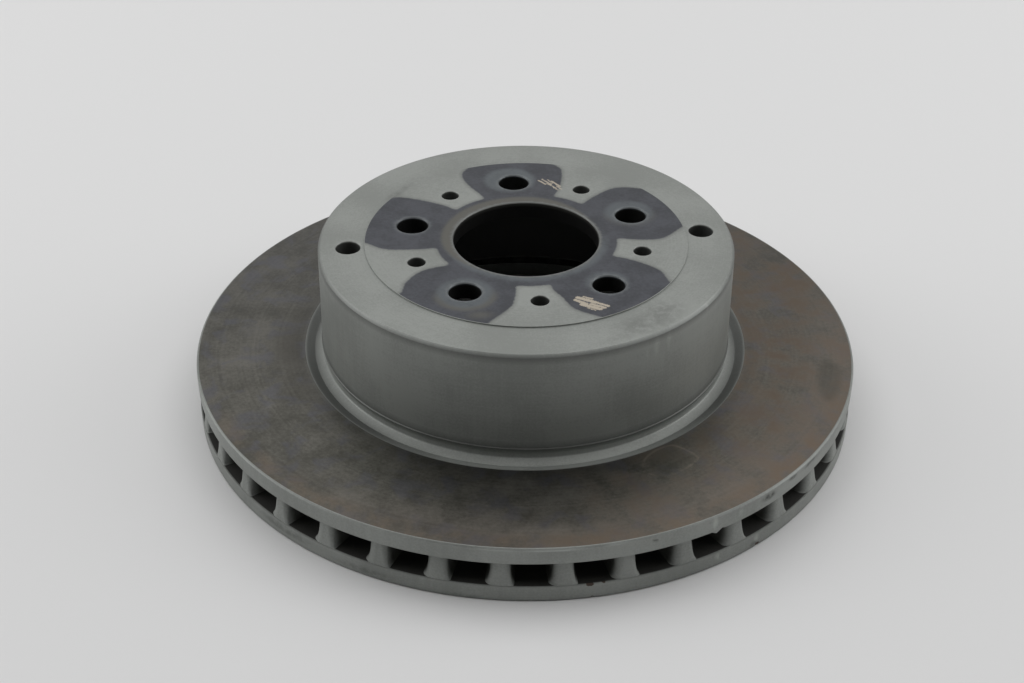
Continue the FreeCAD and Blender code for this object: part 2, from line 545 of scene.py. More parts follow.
def rubbed_and_highlight_mark(points):
    """Edges and scuffs where the coat is rubbed bright, and painted highlights along the rim's top edge,
    the lower cheek's top edge and the groove's lip.
    """
    r = np.hypot(points[:, 0], points[:, 1])
    z = points[:, 2]
    mark = spots(points, SCUFFS)
    pad_holes, outer_holes = flange_holes()
    for (x, y), radius, edge_break in pad_holes + outer_holes:
        away = np.abs(np.hypot(points[:, 0] - x, points[:, 1] - y) - radius - edge_break * 0.7)
        strength = 0.55 if radius == BOLT_R else 0.15
        mark = np.maximum(mark, strength * (1 - smooth(0.15, 0.6, away)) * (z > FLANGE_UNDER + 5))
    # the line at the bore's edge, and painted highlights along the groove's lip and the lower cheek's top
    # edge
    for radius, height, strength in (
        (BORE_R + BORE_BREAK * 0.6, TOP, 0.9),
        (SWEPT_R, RING_TOP, 0.1),
        (RIM_R, CHEEK, 0.15),
    ):
        away = np.hypot(r - radius, z - height)
        mark = np.maximum(mark, strength * (1 - smooth(0.15, 0.7, away)))
    return mark


def spots(points, marks):
    """Soft oval marks, given as in the lists above."""
    r = np.hypot(points[:, 0], points[:, 1])
    found = np.zeros(len(points))
    for degrees, radius, height, along, across, strength in marks:
        side = np.hypot(r - radius, points[:, 2] - height)
        reach = (round_the_disc(points, degrees) / along) ** 2 + (side / across) ** 2
        found = np.maximum(found, strength * np.exp(-1.2 * reach**1.5))
    return found


def smudge_and_shade_mark(points):
    """Dark handling marks, and painted shade along the ring's foot next to the floor."""
    r = np.hypot(points[:, 0], points[:, 1])
    return np.maximum(spots(points, SMUDGES_AND_SHADE), 0.5 * smooth(1.1, 0.2, points[:, 2]) * (r > RIM_R - 2))


def seam_and_shade_mark(points):
    """Thin dark lines along the turned edges and corners; the lines at the hat's ledge and at the pad's
    foot are painted shade.
    """
    r = np.hypot(points[:, 0], points[:, 1])
    found = np.zeros(len(points))
    for radius, height, width, strength in (
        (HAT_TOP_R, SHOULDER - HAT_BREAK, 1.1, 0.5),
        (HAT_FOOT_R + LEDGE * 0.6, RING_TOP + NECK_HEIGHT + 0.1, 0.8, 0.65),
        (PAD_R, SHOULDER, 0.35, 0.05),
        (SWEPT_R, RING_TOP, 0.6, 0.4),
        (RIM_R - RIM_BREAK, RING_TOP, 0.7, 0.2),
        (RIM_R, CHEEK, 0.35, 0.25),
    ):
        away = np.hypot(r - radius, points[:, 2] - height)
        found = np.maximum(found, strength * (1 - smooth(width * 0.4, width, away)))
    # painted shade on the groove's outer slope round the back and the sides, where the hat blocks light
    # from the far side; none at the front
    groove = smooth(GROOVE_R - 1.5, GROOVE_R + 0.5, r) * smooth(SWEPT_R - 0.2, SWEPT_R - 0.9, r)
    groove = groove * (points[:, 2] < RING_TOP) * (points[:, 2] > GAP_TOP + 1)
    return np.maximum(found, 0.7 * smooth(-98, -60, points[:, 1]) * groove)


def chip_mark(points):
    """Fresh chips that show brown iron."""
    r = np.hypot(points[:, 0], points[:, 1])
    found = np.zeros(len(points))
    for degrees, height, along, across, _, _ in BARE_CHIPS:
        reach = (round_the_disc(points, degrees) / along) ** 2 + ((points[:, 2] - height) / across) ** 2
        found = np.maximum(found, smooth(1.25, 0.6, reach) * (r > RIM_R - 0.6))
    return found


def drilled_mark(points):
    """Machined iron of the drum, the bore and the drilled holes below their broken edges, painted dark
    for the shade inside them.
    """
    r = np.hypot(points[:, 0], points[:, 1])
    found = 1.0 * (np.abs(r - DRUM_R) < 0.1) * (points[:, 2] < FLANGE_UNDER - DRUM_CORNER + 0.1)
    pad_holes, outer_holes = flange_holes()
    holes = [(c, radius, TOP - edge_break) for c, radius, edge_break in pad_holes]
    holes += [(c, radius, SHOULDER - edge_break) for c, radius, edge_break in outer_holes]
    holes.append(((0.0, 0.0), BORE_R, TOP - BORE_BREAK))
    for (x, y), radius, mouth in holes:
        within = np.hypot(points[:, 0] - x, points[:, 1] - y) < radius + 0.2
        down = smooth(mouth + 0.1, mouth - 0.3, points[:, 2]) * (points[:, 2] > FLANGE_UNDER - 0.01)
        found = np.maximum(found, within * down * (1.0 if radius > ADJUSTER_R else 0.75))
    return found


def on_face(points):
    """Which points belong to the outboard friction face."""
    return (points[:, 2] > RING_TOP - 0.05) & (np.hypot(points[:, 0], points[:, 1]) > SWEPT_R - 0.1)


def stain_mark(points):
    """Soft dark patches of the friction face."""
    return spots(points, FACE_STAINS) * on_face(points)


def drop_mark(points):
    """Depth into the outlines of dried drops on the friction face, in millimetres."""
    depth = np.full(len(points), -20.0)
    here = on_face(points)
    for outline in DRIED_DROPS:
        depth[here] = np.maximum(depth[here], depth_in(flowing_loop(outline), points[here, :2]))
    return depth


COAT_MARKS = {
    "rubbed_and_highlight": rubbed_and_highlight_mark,
    "smudge_and_shade": smudge_and_shade_mark,
    "seam_and_shade": seam_and_shade_mark,
    "chip": chip_mark,
    "drilled": drilled_mark,
}
PAD_MARKS = {"bare_mm": bare_mark, "washer": washer_mark, "brown": brown_mark, "paint_mm": paint_mark}
FACE_MARKS = {"stain": stain_mark, "drop_mm": drop_mark}


def outboard_side(coating, bolt_face, friction):
    """Bore, mounting pad, hat, neck, groove and outboard friction face."""
    coat, pad, face = range(3)
    shell = Shell()
    pad_holes, outer_holes = flange_holes()
    ledge_z = RING_TOP + NECK_HEIGHT
    bore = [(BORE_R, FLANGE_UNDER), (BORE_R, TOP - BORE_BREAK), (BORE_R + BORE_BREAK, TOP)]
    lathe(shell, divided(softened(bore, HOLE_ROUNDING, 2), 1.8), pad)
    loops = [circle(BORE_R + BORE_BREAK)]
    loops += [circle(r + e, HOLE_STEPS, c) for c, r, e in pad_holes]
    # finer points where the paint lies, so that its strokes stay crisp
    dabs = (((10.5, 44.5), (23.5, 57.5), 0.5), ((14.0, -67.0), (30.0, -51.0), 0.5))
    plate(shell, circle(PAD_FLAT_R), loops, TOP, pad, spacing=1.4, fine_patches=dabs)
    step = [(PAD_FLAT_R, TOP), (PAD_R, TOP), (PAD_R, SHOULDER), (PAD_FOOT_R, SHOULDER)]
    lathe(shell, softened(step, 0.12, 2), coat)
    for centre, radius, edge_break in pad_holes:
        hole_wall(shell, centre, radius, edge_break, TOP, pad)
    for centre, radius, edge_break in outer_holes:
        hole_wall(shell, centre, radius, edge_break, SHOULDER, coat)
    loops = [circle(PAD_FOOT_R)] + [circle(r + e, HOLE_STEPS, c) for c, r, e in outer_holes]
    plate(shell, circle(HAT_FLAT_R), loops, SHOULDER, coat, spacing=2.0)
    hat = [
        (HAT_FLAT_R, SHOULDER),
        (HAT_TOP_R - HAT_BREAK, SHOULDER),
        (HAT_TOP_R, SHOULDER - HAT_BREAK),
        (HAT_FOOT_R, ledge_z + LEDGE),
        (HAT_FOOT_R + LEDGE, ledge_z),
    ]
    lathe(shell, divided(softened(hat, 0.25), 3.6), coat)
    neck = [
        (HAT_FOOT_R + LEDGE, ledge_z),
        (NECK_WAIST_R, RING_TOP + NECK_WAIST),
        (NECK_FOOT_R, RING_TOP),
        (GROOVE_R, RING_TOP - GROOVE_DEPTH),
    ]
    lathe(shell, softened(neck, 1.2, 4), coat)
    groove = [
        (GROOVE_R, RING_TOP - GROOVE_DEPTH),
        (SWEPT_R - LIP_WIDTH, RING_TOP - LIP_DROP),
        (SWEPT_R, RING_TOP),
        (FACE_START_R, RING_TOP),
    ]
    lathe(shell, divided(softened(groove, 0.4), WALL_STEP), coat)
    lathe(shell, [(r, RING_TOP) for r in np.linspace(FACE_START_R, FACE_END_R, 20)], face)
    marks = COAT_MARKS | PAD_MARKS | FACE_MARKS
    return shell.piece("disc_outboard_side", [coating, bolt_face, friction], marks)


def vane_outline(lift):
    """The web's outline round the vane, from the middle of its nose, with its outward normals.

    The lift goes from 0 at the inboard cheek to 1 at the outboard one.
    """
    half, tail = VANE_HALF, TAIL_CORNER
    soft = SOFT_CORNER[0] + (SOFT_CORNER[1] - SOFT_CORNER[0]) * lift
    tight = TIGHT_CORNER[0] + (TIGHT_CORNER[1] - TIGHT_CORNER[0]) * lift
    nose = VANE_NOSE - NOSE_LEAN * lift
    points, normals = [], []

    def run(a, b, normal, steps):
        for t in np.linspace(0, 1, steps, endpoint=False):
            points.append((a[0] + (b[0] - a[0]) * t, a[1] + (b[1] - a[1]) * t))
            normals.append(normal)

    def turn(x, y, radius, first, steps):
        for t in np.linspace(0, 1, steps, endpoint=False):
            angle = first + t * math.pi / 2
            points.append((x + radius * math.cos(angle), y + radius * math.sin(angle)))
            normals.append((math.cos(angle), math.sin(angle)))

    run((nose, 0), (nose, half - tight), (1, 0), 4)
    turn(nose - tight, half - tight, tight, 0, 8)
    run((nose - tight, half), (VANE_TAIL + tail, half), (0, 1), 14)
    turn(VANE_TAIL + tail, half - tail, tail, math.pi / 2, 5)
    run((VANE_TAIL, half - tail), (VANE_TAIL, tail - half), (-1, 0), 4)
    turn(VANE_TAIL + tail, tail - half, tail, math.pi, 5)
    run((VANE_TAIL + tail, -half), (nose - soft, -half), (0, -1), 14)
    turn(nose - soft, soft - half, soft, 3 * math.pi / 2, 9)
    run((nose, soft - half), (nose, 0), (1, 0), 3)
    return np.array(points), np.array(normals)


def fillet(width, height, away):
    """How far a fillet stands out at this distance from the face that it runs into."""
    return width * (1 - np.sqrt(1 - (np.clip(height - away, 0, None) / height) ** 2))


def vane_section(z):
    """The vane's outline at this height with its fillets, its nose no further out than the rim."""
    points, normals = vane_outline((z - CHEEK) / (GAP_TOP - CHEEK))
    grow = fillet(np.where(normals[:, 1] < 0, SOFT_FOOT, TIGHT_FOOT), FOOT_HEIGHT, z - CHEEK)
    grow = grow + fillet(ROOF_FILLET, ROOF_FILLET, GAP_TOP - z)
    # the fillet is narrower at the vane's inner end, and the nose itself has none
    inward = np.where(normals[:, 0] > 0, 0, 0.4)
    out = points + np.stack([normals[:, 0] * inward * grow, normals[:, 1] * grow], 1)
    reach = np.hypot(out[:, 0], out[:, 1])
    return out * np.minimum(1, VANE_NOSE / reach)[:, None]


def channel_pitch(shell, finish):
    """One vane and the cheek faces round it, over one pitch about the +X axis."""
    # heights above the inboard cheek and below the outboard one, closest at the fillets
    levels = [CHEEK + h for h in (0, 0.08, 0.35, 0.9, 1.8, 3.0, 4.6, 6.5)]
    levels += [GAP_TOP - h for h in (3.7, 1.8, 0.8, 0.4, 0.15, 0)]
    sections = [vane_section(z) for z in levels]
    count = len(sections[0])
    rows = [np.column_stack([flat, np.full(count, z)]) for flat, z in zip(sections, levels)]
    faces = []
    for i in range(len(levels) - 1):
        for j in range(count):
            k = (j + 1) % count
            faces.append((i * count + j, i * count + k, (i + 1) * count + k, (i + 1) * count + j))
    shell.add(np.concatenate(rows), faces, finish)
    plate(shell, pitch_outline(INBOARD_BORE_R), [sections[0]], CHEEK, finish)
    plate(shell, pitch_outline(HAT_FOOT_R), [sections[-1]], GAP_TOP, finish, facing=-1)


def pitch_outline(inner):
    """Outline of one pitch of a cheek's cast face."""
    outer = RIM_R - MOUTH_SOFT
    turns = np.linspace(-PITCH / 2, PITCH / 2, PER_PITCH + 1)
    side = np.linspace(outer, inner, 13)[1:-1]
    loop = [(outer * math.cos(a), outer * math.sin(a)) for a in turns]
    loop += [(r * math.cos(PITCH / 2), r * math.sin(PITCH / 2)) for r in side]
    loop += [(inner * math.cos(a), inner * math.sin(a)) for a in turns[::-1]]
    loop += [(r * math.cos(PITCH / 2), -r * math.sin(PITCH / 2)) for r in side[::-1]]
    return np.array(loop)


def rim_and_channels(coating, cast):
    """Both rim bands, the vanes and the cast faces of the cooling channels."""
    coat, skin = range(2)
    shell = Shell()
    upper = [
        (FACE_END_R, RING_TOP),
        (RIM_R - RIM_BREAK, RING_TOP),
        (RIM_R, RING_TOP - RIM_BREAK),
        (RIM_R, GAP_TOP),
        (RIM_R - MOUTH_SOFT, GAP_TOP),
    ]
    lower = [
        (RIM_R - MOUTH_SOFT, CHEEK),
        (RIM_R, CHEEK),
        (RIM_R, RIM_BREAK),
        (RIM_R - RIM_BREAK, 0),
        (INBOARD_END_R, 0),
    ]
    lathe(shell, divided(softened(upper, 0.6, 4), WALL_STEP), coat)
    lathe(shell, divided(softened(lower, 0.3), WALL_STEP), coat)
    one = Shell()
    channel_pitch(one, skin)
    flat = np.concatenate(one.points)
    for i in range(VANES):
        angle = FRONT_VANE + i * PITCH
        c, s = math.cos(angle), math.sin(angle)
        x = flat[:, 0] * c - flat[:, 1] * s
        y = flat[:, 0] * s + flat[:, 1] * c
        shell.add(np.stack([x, y, flat[:, 2]], 1), one.faces, skin)
    return shell.piece("disc_rim_and_channels", [coating, cast], COAT_MARKS, DENTS)


def inboard_side(coating, friction, cast):
    """Inboard friction face and bore, drum mouth, drum and hub side of the flange."""
    coat, face, skin = range(3)
    shell = Shell()
    lathe(shell, [(r, 0.0) for r in np.linspace(INBOARD_END_R, INBOARD_START_R, 20)], face)
    bore = [
        (INBOARD_START_R, 0),
        (INBOARD_BORE_R + RIM_BREAK, 0),
        (INBOARD_BORE_R, RIM_BREAK),
        (INBOARD_BORE_R, CHEEK),
    ]
    lathe(shell, softened(bore, 0.2), coat)
    mouth = [
        (HAT_FOOT_R, GAP_TOP),
        (HAT_FOOT_R, DRUM_MOUTH + MOUTH_BREAK),
        (HAT_FOOT_R - MOUTH_BREAK, DRUM_MOUTH),
        (DRUM_R + MOUTH_BREAK, DRUM_MOUTH),
        (DRUM_R, DRUM_MOUTH + MOUTH_BREAK),
        (DRUM_R, DRUM_START),
    ]
    lathe(shell, softened(mouth, 0.2), skin)
    corner_z = FLANGE_UNDER - DRUM_CORNER
    lathe(shell, [(DRUM_R, z) for z in np.linspace(DRUM_START, corner_z, 20)], coat)
    corner = [
        (DRUM_R, corner_z),
        (DRUM_R, corner_z + CORNER_ROUNDING),
        (DRUM_R - DRUM_CORNER + CORNER_ROUNDING, FLANGE_UNDER),
        (DRUM_R - DRUM_CORNER, FLANGE_UNDER),
    ]
    lathe(shell, softened(corner, 1.5, 4), coat)
    pad_holes, outer_holes = flange_holes()
    loops = [circle(BORE_R)] + [circle(r, HOLE_STEPS, c) for c, r, _ in pad_holes + outer_holes]
    hub_side_r = DRUM_R - DRUM_CORNER
    plate(shell, circle(hub_side_r), loops, FLANGE_UNDER, coat, spacing=3.0, facing=-1)
    return shell.piece("disc_inboard_side", [coating, friction, cast], COAT_MARKS)


def linear(hex_colour):
    """Scene-linear RGBA of an sRGB hex colour."""
    parts = [int(hex_colour[i : i + 2], 16) / 255 for i in (1, 3, 5)]
    return [p / 12.92 if p <= 0.04045 else ((p + 0.055) / 1.055) ** 2.4 for p in parts] + [1.0]


def per_metre(millimetres):
    """Noise scale whose forms are about this wide."""
    return 1 / (millimetres * MM)


def add(tree, kind, inputs=None, **settings):
    """Adds a node with its settings; an input that is a socket is linked."""
    node = tree.nodes.new("ShaderNode" + kind)
    for name, value in settings.items():
        setattr(node, name, value)
    for key, value in (inputs or {}).items():
        if isinstance(value, bpy.types.NodeSocket):
            tree.links.new(value, node.inputs[key])
        else:
            node.inputs[key].default_value = value
    return node.outputs


def new_material(name):
    material = bpy.data.materials.new(name)
    material.use_nodes = True
    tree = material.node_tree
    tree.nodes.clear()
    place = add(tree, "TexCoord")["Object"]
    return material, tree, place


def layered(tree, colour, layers):
    """Lays colours over one another, each as far as its pattern says."""
    for amount, over in layers:
        over = linear(over) if isinstance(over, str) else over
        sockets = {0: amount, 6: colour, 7: over}
        colour = add(tree, "Mix", sockets, data_type="RGBA", clamp_factor=True)[2]
    return colour


def weighted(tree, parts, start=0.0):
    """Sum of patterns, each with its own weight."""
    for pattern, weight in parts:
        start = add(tree, "Math", {0: pattern, 1: weight, 2: start}, operation="MULTIPLY_ADD")[0]
    return start


def radius_of(tree, place):
    """Distance from the disc's axis."""
    flat = add(tree, "VectorMath", {0: place, 1: (1.0, 1.0, 0.0)}, operation="MULTIPLY")[0]
    return add(tree, "VectorMath", {0: flat}, operation="LENGTH")["Value"]


# Settings of the nodes that ease from one value to another and that multiply two patterns
EASED = {"interpolation_type": "SMOOTHSTEP"}
PRODUCT = {"operation": "MULTIPLY"}


def coat_look(tree, place):
    """Zinc-flake coat: cloudy grey, runs down upright faces, rubbed edges, dirt and chips, with painted
    highlights and painted shade along some edges, at the ring's foot and down the holes.
    """
    marks = {name: add(tree, "Attribute", attribute_name=name)["Fac"] for name in COAT_MARKS}
    cloud = add(tree, "TexNoise", {"Vector": place, "Scale": per_metre(38), "Detail": 4.0})["Fac"]
    # the coat is thicker in runs about 2.5 mm wide down the hat's wall
    drawn = add(tree, "Mapping", {"Vector": place, "Scale": (1.0, 1.0, 0.1)})[0]
    runs = add(tree, "TexNoise", {"Vector": drawn, "Scale": per_metre(2.5), "Detail": 3.0})["Fac"]
    # flakes of 0.02 mm would not show, so the grain is drawn 0.9 mm wide
    grain = add(tree, "TexNoise", {"Vector": place, "Scale": per_metre(0.9), "Detail": 2.0})["Fac"]
    # turning under the coat leaves rings every 0.15 mm, drawn 0.8 mm apart to show
    up = add(tree, "SeparateXYZ", {0: place})[2]
    section = add(tree, "CombineXYZ", {0: radius_of(tree, place), 2: up})[0]
    turning = add(tree, "TexNoise", {"Vector": section, "Scale": per_metre(0.8), "Detail": 2.0})["Fac"]
    # smudges, painted shade and chips break up over about 3 mm
    sockets = {"Vector": place, "Scale": per_metre(3.2), "Detail": 5.0, "Roughness": 0.65}
    patchy = add(tree, "TexNoise", sockets)["Fac"]

    tone = weighted(tree, ((turning, 0.114), (grain, 0.266), (runs, 0.12), (cloud, 0.5)))
    light = add(tree, "MapRange", {0: tone, 1: 0.39, 2: 0.61}, **EASED)[0]
    grain_break = weighted(tree, ((grain, 0.8),), 0.6)
    rubbed_and_highlight = add(tree, "Math", {0: marks["rubbed_and_highlight"], 1: grain_break}, **PRODUCT)[0]
    held = add(tree, "MapRange", {0: patchy, 1: 0.3, 2: 0.62}, **EASED)[0]
    darkened = add(tree, "Math", {0: marks["smudge_and_shade"], 1: held}, **PRODUCT)[0]
    broken = weighted(tree, ((marks["chip"], 1.0),), patchy)
    chip = add(tree, "MapRange", {0: broken, 1: 0.8, 2: 1.0}, **EASED)[0]
    colour = layered(
        tree,
        linear("#878A86"),
        (
            (light, "#969995"),
            # rubbed coat, and painted highlights along the rim's and the lower cheek's top edges
            (rubbed_and_highlight, "#A9ACA8"),
            # smudges, and painted shade along the ring's foot and in the groove at the front left
            (darkened, "#4B4C49"),
            # dark edge lines, and painted shade at the hat's ledge, the pad's foot and on the groove's
            # outer slope
            (marks["seam_and_shade"], "#3C3D3B"),
            (chip, "#4A3D35"),
            # bare iron painted near black for the shade in the holes, the bore and the drum
            (marks["drilled"], "#2B2C2A"),
        ),
    )
    rough = weighted(tree, ((rubbed_and_highlight, -0.12), (grain, 0.12)), 0.44)
    height = weighted(tree, ((runs, 0.5), (grain, 0.5)))
    return colour, rough, height


def zinc_flake_coat():
    """Sprayed zinc-flake coat: matte pale grey with the faintest green and a low metal sheen."""
    material, tree, place = new_material("zinc_flake_coat")
    colour, rough, height = coat_look(tree, place)
    bump = add(tree, "Bump", {"Strength": 0.25, "Distance": 0.00006, "Height": height})[0]
    sockets = {"Base Color": colour, "Roughness": rough, "Metallic": 0.45, "Normal": bump}
    add(tree, "OutputMaterial", {"Surface": add(tree, "BsdfPrincipled", sockets)[0]})
    return material


def bolt_face():
    """Mounting face: coat, and slate-grey phosphated iron where the wheel's bolt faces took it off."""
    material, tree, place = new_material("coat_over_phosphated_iron")
    coat, coat_rough, coat_height = coat_look(tree, place)
    names = ("rubbed_and_highlight", "drilled", *PAD_MARKS)
    marks = {name: add(tree, "Attribute", attribute_name=name)["Fac"] for name in names}
    # the phosphate is mottled over about 11 mm, with crystals drawn 1.6 mm wide
    sockets = {"Vector": place, "Scale": per_metre(11), "Detail": 4.0, "Roughness": 0.6}
    patch = add(tree, "TexNoise", sockets)["Fac"]
    speck = add(tree, "TexNoise", {"Vector": place, "Scale": per_metre(1.6), "Detail": 3.0})["Fac"]
    # a broad pen's strokes break up over about 0.8 mm
    sockets = {"Vector": place, "Scale": per_metre(0.8), "Detail": 4.0, "Roughness": 0.7}
    dab = add(tree, "TexNoise", sockets)["Fac"]

    mottle = weighted(tree, ((speck, 0.35), (patch, 0.65)))
    light = add(tree, "MapRange", {0: mottle, 1: 0.36, 2: 0.64}, **EASED)[0]
    pressed = add(tree, "MapRange", {0: mottle, 1: 0.25, 2: 0.6, 3: 0.45, 4: 1.0}, **EASED)[0]
    washer = add(tree, "Math", {0: marks["washer"], 1: pressed}, **PRODUCT)[0]
    rubbed_and_highlight = add(tree, "Math", {0: marks["rubbed_and_highlight"], 1: 0.6}, **PRODUCT)[0]
    iron = layered(
        tree,
        linear("#3E4045"),
        (
            (light, "#4E5056"),
            (washer, "#62686B"),
            (marks["brown"], "#605F59"),
            (rubbed_and_highlight, "#858989"),
            # drilled iron painted near black for the shade in the holes and the bore
            (marks["drilled"], "#1A1A19"),
        ),
    )

    ragged = weighted(tree, ((marks["bare_mm"], 1.0), (speck, 1.0)), -0.5)
    bare = add(tree, "MapRange", {0: ragged, 1: -0.5, 2: 0.6}, **EASED)[0]
    # a dark line of lifted coat runs round each bare patch
    lifted = add(tree, "MapRange", {0: ragged, 1: -2.2, 2: -0.3}, **EASED)[0]
    outside = add(tree, "MapRange", {0: ragged, 1: -0.1, 2: 0.3, 3: 0.3, 4: 0.0}, **EASED)[0]
    fringe = add(tree, "Math", {0: lifted, 1: outside}, **PRODUCT)[0]
    painted = weighted(tree, ((dab, 1.9),), marks["paint_mm"])
    paint = add(tree, "MapRange", {0: painted, 1: 0.9, 2: 1.35, 3: 0.0, 4: 0.9}, **EASED)[0]
    colour = layered(tree, coat, ((fringe, "#5A5B59"), (bare, iron), (paint, "#BDB3A2")))

    iron_rough = weighted(tree, ((mottle, 0.2),), 0.36)
    unpainted = add(tree, "Mix", {0: bare, 2: coat_rough, 3: iron_rough}, data_type="FLOAT")[0]
    rough = add(tree, "Mix", {0: paint, 2: unpainted, 3: 0.6}, data_type="FLOAT")[0]
    height = weighted(tree, ((speck, 0.4), (coat_height, 0.5), (bare, -0.5), (paint, 1.2)))
    bump = add(tree, "Bump", {"Strength": 0.35, "Distance": 0.00006, "Height": height})[0]
    # bare iron shows a little more metal than the coat, and paint none more
    bared = add(tree, "Math", {0: bare, 1: paint}, operation="SUBTRACT", use_clamp=True)[0]
    metallic = weighted(tree, ((bared, 0.05),), 0.45)
    sockets = {"Base Color": colour, "Roughness": rough, "Metallic": metallic, "Normal": bump}
    add(tree, "OutputMaterial", {"Surface": add(tree, "BsdfPrincipled", sockets)[0]})
    return material


def turned_iron():
    """Turned grey iron of the friction faces: dark, half polished, with bluish and brown oxide."""
    material, tree, place = new_material("turned_grey_iron_with_oxide")
    radius = radius_of(tree, place)
    x, y, _ = add(tree, "SeparateXYZ", {0: place})
    marks = {name: add(tree, "Attribute", attribute_name=name)["Fac"] for name in ("rubbed_and_highlight", *FACE_MARKS)}
    # oxide drifts over about 46 mm, clouds over 13 mm, and tints blue over 12 mm
    sockets = {"Vector": place, "Scale": per_metre(46), "Detail": 5.0, "Roughness": 0.6}
    drift = add(tree, "TexNoise", sockets)["Fac"]
    sockets = {"Vector": place, "Scale": per_metre(13), "Detail": 6.0, "Roughness": 0.62}
    cloud = add(tree, "TexNoise", sockets)["Fac"]
    sockets = {"Vector": place, "Scale": per_metre(12), "Detail": 6.0, "Distortion": 0.6}
    haze = add(tree, "TexNoise", sockets)["Fac"]
    # the iron's own grain is finer than 0.1 mm, drawn 1.5 mm wide to show
    sockets = {"Vector": place, "Scale": per_metre(1.5), "Detail": 4.0, "Roughness": 0.7}
    speck = add(tree, "TexNoise", sockets)["Fac"]
    # the tool left a ring every 0.2 mm, drawn 1.6 mm apart to show
    sockets = {"W": radius, "Scale": per_metre(1.6), "Detail": 2.0}
    rings = add(tree, "TexNoise", sockets, noise_dimensions="1D")["Fac"]

    tone = weighted(tree, ((drift, 0.25), (rings, 0.08), (speck, 0.27), (cloud, 0.4)))
    light = add(tree, "MapRange", {0: tone, 1: 0.36, 2: 0.64}, **EASED)[0]
    # painted shade next to the hat darkens the face there, and it is darker towards +Y
    hat_shade = add(tree, "MapRange", {0: radius, 1: 0.104, 2: 0.116, 3: 0.35, 4: 0.0}, **EASED)[0]
    far_side = add(tree, "MapRange", {0: y, 1: -0.06, 2: 0.12, 3: 0.0, 4: 0.35}, **EASED)[0]
    blue = add(tree, "MapRange", {0: haze, 1: 0.48, 2: 0.66, 3: 0.0, 4: 0.45}, **EASED)[0]
    # brown oxide gathers on the +X side, in clouds
    damp = weighted(tree, ((x, 2.4), (drift, 0.9)))
    brown = add(tree, "MapRange", {0: damp, 1: 0.45, 2: 0.78}, **EASED)[0]
    clouded = add(tree, "MapRange", {0: cloud, 1: 0.34, 2: 0.66, 3: 0.1, 4: 0.9}, **EASED)[0]
    brown_cloud = add(tree, "Math", {0: brown, 1: clouded}, **PRODUCT)[0]
    # warmer oxide towards the outer edge on the side that faced the damp
    outward = add(tree, "MapRange", {0: radius, 1: 0.122, 2: 0.150, 3: 0.0, 4: 0.3}, **EASED)[0]
    side = weighted(tree, ((x, 0.5), (y, -1.0)))
    faced = add(tree, "MapRange", {0: side, 1: 0.02, 2: 0.12}, **EASED)[0]
    warmed = add(tree, "Math", {0: outward, 1: faced}, **PRODUCT)[0]
    clouded = add(tree, "MapRange", {0: cloud, 1: 0.3, 2: 0.62, 3: 0.5, 4: 1.0}, **EASED)[0]
    oxide = add(tree, "Math", {0: warmed, 1: clouded}, **PRODUCT)[0]
    # a narrow browner band just inside the rim
    edge = add(tree, "MapRange", {0: radius, 1: 0.1425, 2: 0.1500}, **EASED)[0]
    front = add(tree, "MapRange", {0: y, 1: -0.02, 2: -0.09}, **EASED)[0]
    clouded = add(tree, "MapRange", {0: cloud, 1: 0.4, 2: 0.62, 3: 0.05, 4: 0.4}, **EASED)[0]
    band = add(tree, "Math", {0: edge, 1: front}, **PRODUCT)[0]
    band = add(tree, "Math", {0: band, 1: clouded}, **PRODUCT)[0]
    clouded = add(tree, "MapRange", {0: cloud, 1: 0.3, 2: 0.6, 3: 0.5, 4: 1.0}, **EASED)[0]
    stain = add(tree, "Math", {0: marks["stain"], 1: clouded}, **PRODUCT)[0]
    # a dried drop is dark inside, and the one nearer the hat has a thin pale outline
    drop = add(tree, "MapRange", {0: marks["drop_mm"], 1: 0.0, 2: 5.0, 3: 0.0, 4: 0.4}, **EASED)[0]
    away = add(tree, "Math", {0: marks["drop_mm"]}, operation="ABSOLUTE")[0]
    outline = add(tree, "MapRange", {0: away, 1: 0.15, 2: 0.9, 3: 0.32, 4: 0.0}, **EASED)[0]
    nearer = add(tree, "MapRange", {0: x, 1: 0.07, 2: 0.11, 3: 1.0, 4: 0.0}, **EASED)[0]
    clouded = add(tree, "MapRange", {0: cloud, 1: 0.36, 2: 0.6}, **EASED)[0]
    outline = add(tree, "Math", {0: outline, 1: nearer}, **PRODUCT)[0]
    outline = add(tree, "Math", {0: outline, 1: clouded}, **PRODUCT)[0]
    rubbed_and_highlight = add(tree, "Math", {0: marks["rubbed_and_highlight"], 1: 0.7}, **PRODUCT)[0]
    colour = layered(
        tree,
        linear("#51504A"),
        (
            (light, "#72706A"),
            # painted shade next to the hat
            (hat_shade, "#434341"),
            (far_side, "#464647"),
            (blue, "#5E5F68"),
            (brown_cloud, "#63574B"),
            (oxide, "#867C74"),
            (band, "#70604F"),
            (stain, "#3D3B35"),
            (drop, "#47463F"),
            (outline, "#948A7E"),
            # painted highlight along the groove's lip
            (rubbed_and_highlight, "#8B8C8A"),
        ),
    )
    rough = weighted(tree, ((brown, 0.06), (cloud, 0.14)), 0.29)
    height = weighted(tree, ((speck, 0.7), (rings, 0.3)))
    bump = add(tree, "Bump", {"Strength": 0.2, "Distance": 0.00004, "Height": height})[0]
    sockets = {"Base Color": colour, "Roughness": rough, "Metallic": 0.95, "Normal": bump}
    add(tree, "OutputMaterial", {"Surface": add(tree, "BsdfPrincipled", sockets)[0]})
    return material


